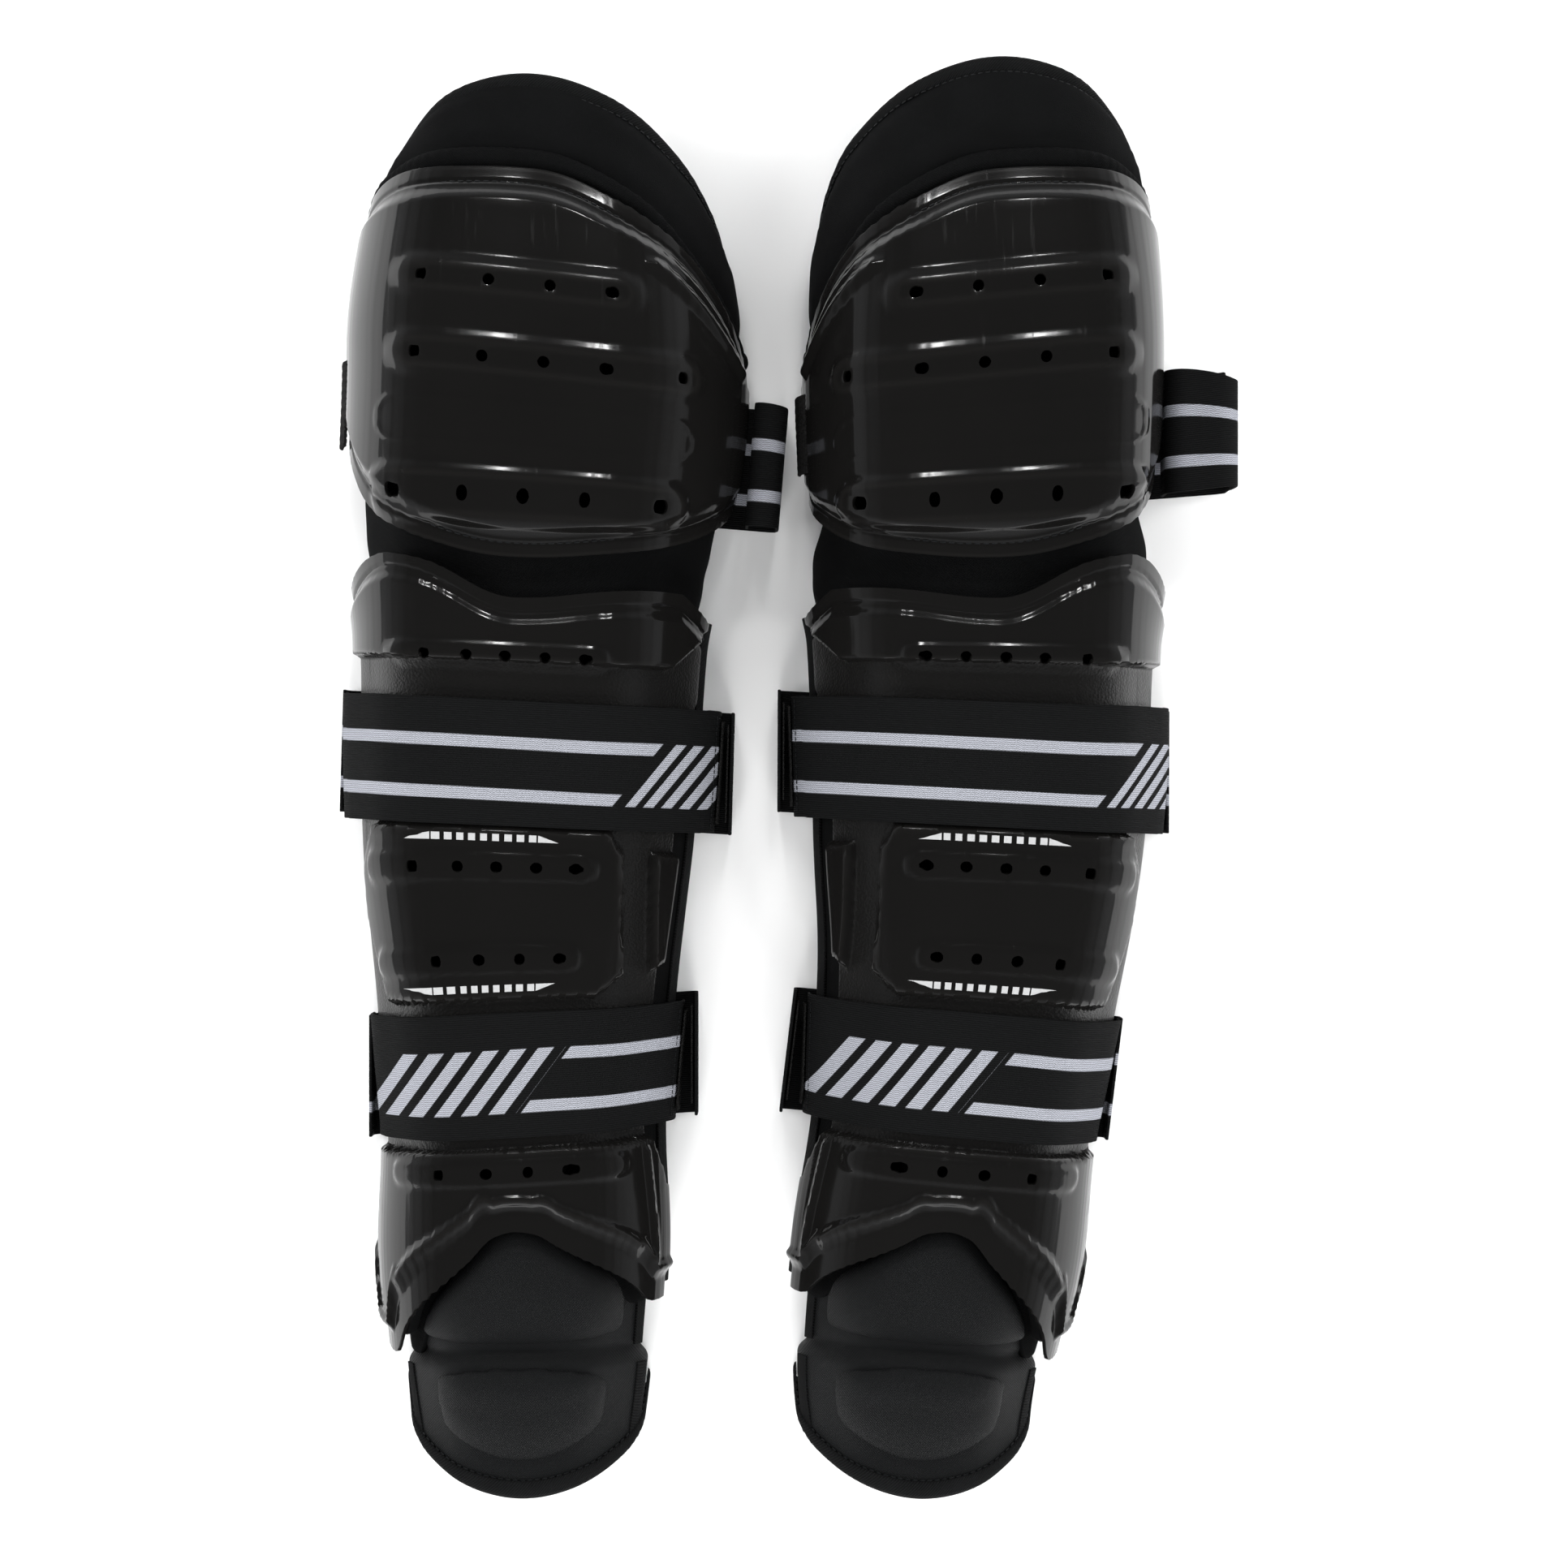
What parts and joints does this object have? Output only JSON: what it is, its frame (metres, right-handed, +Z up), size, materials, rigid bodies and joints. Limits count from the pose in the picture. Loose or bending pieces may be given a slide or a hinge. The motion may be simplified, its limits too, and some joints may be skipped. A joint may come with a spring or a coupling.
{
  "type": "knee guards",
  "caption": "Pair of black knee and shin guards with domed knee shells, ribbed vented shin shells, elastic straps, padded thigh flaps and instep tongues, lying face up.",
  "frame": {"origin": "On the floor, at the middle of the pair's bounding box.", "axes": "X runs across the pair, from the guard at the left as seen from above to the one at the right. Y runs along the legs, from the toes to the thighs. Z is up, from the open back that the pair lies on to the fronts of the shells."},
  "size_m": [0.3648, 0.5836, 0.0802],
  "materials": {
    "gloss_shell": "glossy black thermoformed shell",
    "knit_fabric": "matt black knit over padding",
    "foam": "dark closed-cell foam",
    "elastic": "black woven elastic with pale grey stripes",
    "hook_and_loop": "black hook-and-loop tape",
    "binding_tape": "black woven binding tape"
  },
  "bodies": {
    "left_shin": {"left_shin_liner": "knit_fabric", "left_shin_foam": "foam", "left_shin_shell": "gloss_shell", "left_shin_binding_outer": "binding_tape", "left_shin_binding_inner": "binding_tape", "left_calf_strap_front": "elastic", "left_calf_strap_loop_patch": "hook_and_loop", "left_ankle_strap_front": "elastic", "left_ankle_strap_loop_patch": "hook_and_loop", "left_ankle_tongue": "knit_fabric", "left_ankle_pillow": "knit_fabric"},
    "left_knee": {"left_knee_liner": "knit_fabric", "left_knee_foam": "foam", "left_knee_shell": "gloss_shell", "left_knee_rim_roll": "knit_fabric", "left_knee_loop_patch": "hook_and_loop"},
    "left_thigh": {"left_thigh_flap": "knit_fabric", "left_thigh_binding": "binding_tape"},
    "left_instep": {"left_instep_tongue": "knit_fabric", "left_instep_binding": "binding_tape", "left_instep_pillow": "knit_fabric"},
    "left_calf_strap": {"left_calf_strap_back": "elastic", "left_calf_strap_hook_patch": "hook_and_loop"},
    "left_ankle_strap": {"left_ankle_strap_back": "elastic", "left_ankle_strap_hook_patch": "hook_and_loop"},
    "left_knee_strap": {"left_knee_strap": "elastic", "left_knee_strap_hook_patch": "hook_and_loop"},
    "right_shin": {"right_shin_liner": "knit_fabric", "right_shin_foam": "foam", "right_shin_shell": "gloss_shell", "right_shin_binding_outer": "binding_tape", "right_shin_binding_inner": "binding_tape", "right_calf_strap_front": "elastic", "right_calf_strap_loop_patch": "hook_and_loop", "right_ankle_strap_front": "elastic", "right_ankle_strap_loop_patch": "hook_and_loop", "right_ankle_tongue": "knit_fabric", "right_ankle_pillow": "knit_fabric"},
    "right_knee": {"right_knee_liner": "knit_fabric", "right_knee_foam": "foam", "right_knee_shell": "gloss_shell", "right_knee_rim_roll": "knit_fabric", "right_knee_loop_patch": "hook_and_loop"},
    "right_thigh": {"right_thigh_flap": "knit_fabric", "right_thigh_binding": "binding_tape"},
    "right_instep": {"right_instep_tongue": "knit_fabric", "right_instep_binding": "binding_tape", "right_instep_pillow": "knit_fabric"},
    "right_calf_strap": {"right_calf_strap_back": "elastic", "right_calf_strap_hook_patch": "hook_and_loop"},
    "right_ankle_strap": {"right_ankle_strap_back": "elastic", "right_ankle_strap_hook_patch": "hook_and_loop"},
    "right_knee_strap": {"right_knee_strap": "elastic", "right_knee_strap_hook_patch": "hook_and_loop"}
  },
  "joints": [
    {"name": "left_knee_flex", "type": "hinge", "parent": "left_shin", "child": "left_knee", "pos_m": [-0.10614, 0.08647, 0.00016], "axis": [-1, 0, 0], "range_deg": [0, 75]},
    {"name": "left_thigh_flap_fold", "type": "hinge", "parent": "left_knee", "child": "left_thigh", "pos_m": [-0.10614, 0.1908, 0.00016], "axis": [-1, 0, 0], "range_deg": [0, 40]},
    {"name": "left_instep_fold", "type": "hinge", "parent": "left_shin", "child": "left_instep", "pos_m": [-0.10873, -0.23387, 0.03574], "axis": [-1, -0.0088, 0], "range_deg": [0, 50]},
    {"name": "left_calf_strap_swing", "type": "hinge", "parent": "left_shin", "child": "left_calf_strap", "pos_m": [-0.18153, 0.01208, 0.00081], "axis": [0.0291, 0.9996, 0], "range_deg": [0, 110]},
    {"name": "left_ankle_strap_swing", "type": "hinge", "parent": "left_shin", "child": "left_ankle_strap", "pos_m": [-0.17023, -0.12097, 0.00081], "axis": [0, 1, 0], "range_deg": [0, 110]},
    {"name": "left_knee_strap_swing", "type": "hinge", "parent": "left_knee", "child": "left_knee_strap", "pos_m": [-0.17021, 0.14122, 0.00081], "axis": [0.0824, 0.9966, 0], "range_deg": [0, 70]},
    {"name": "right_knee_flex", "type": "hinge", "parent": "right_shin", "child": "right_knee", "pos_m": [0.07886, 0.08647, 0.00016], "axis": [-1, 0, 0], "range_deg": [0, 75]},
    {"name": "right_thigh_flap_fold", "type": "hinge", "parent": "right_knee", "child": "right_thigh", "pos_m": [0.07886, 0.18926, 0.00016], "axis": [-1, 0, 0], "range_deg": [0, 40]},
    {"name": "right_instep_fold", "type": "hinge", "parent": "right_shin", "child": "right_instep", "pos_m": [0.05634, -0.23399, 0.03574], "axis": [-0.9984, 0.0573, 0], "range_deg": [0, 50]},
    {"name": "right_calf_strap_swing", "type": "hinge", "parent": "right_shin", "child": "right_calf_strap", "pos_m": [0.15577, 0.00324, 0.00081], "axis": [-0.0035, -1, 0], "range_deg": [0, 110]},
    {"name": "right_ankle_strap_swing", "type": "hinge", "parent": "right_shin", "child": "right_ankle_strap", "pos_m": [0.13386, -0.12226, 0.00081], "axis": [-0.1197, -0.9928, 0], "range_deg": [0, 110]},
    {"name": "right_knee_strap_swing", "type": "hinge", "parent": "right_knee", "child": "right_knee_strap", "pos_m": [0.01592, 0.13008, 0.00081], "axis": [0, 1, 0], "range_deg": [0, 70]},
    {"name": "right_guard_lift", "type": "slide", "parent": "left_shin", "child": "right_shin", "axis": [0, 0, 1], "range_m": [0, 0.25]}
  ]
}
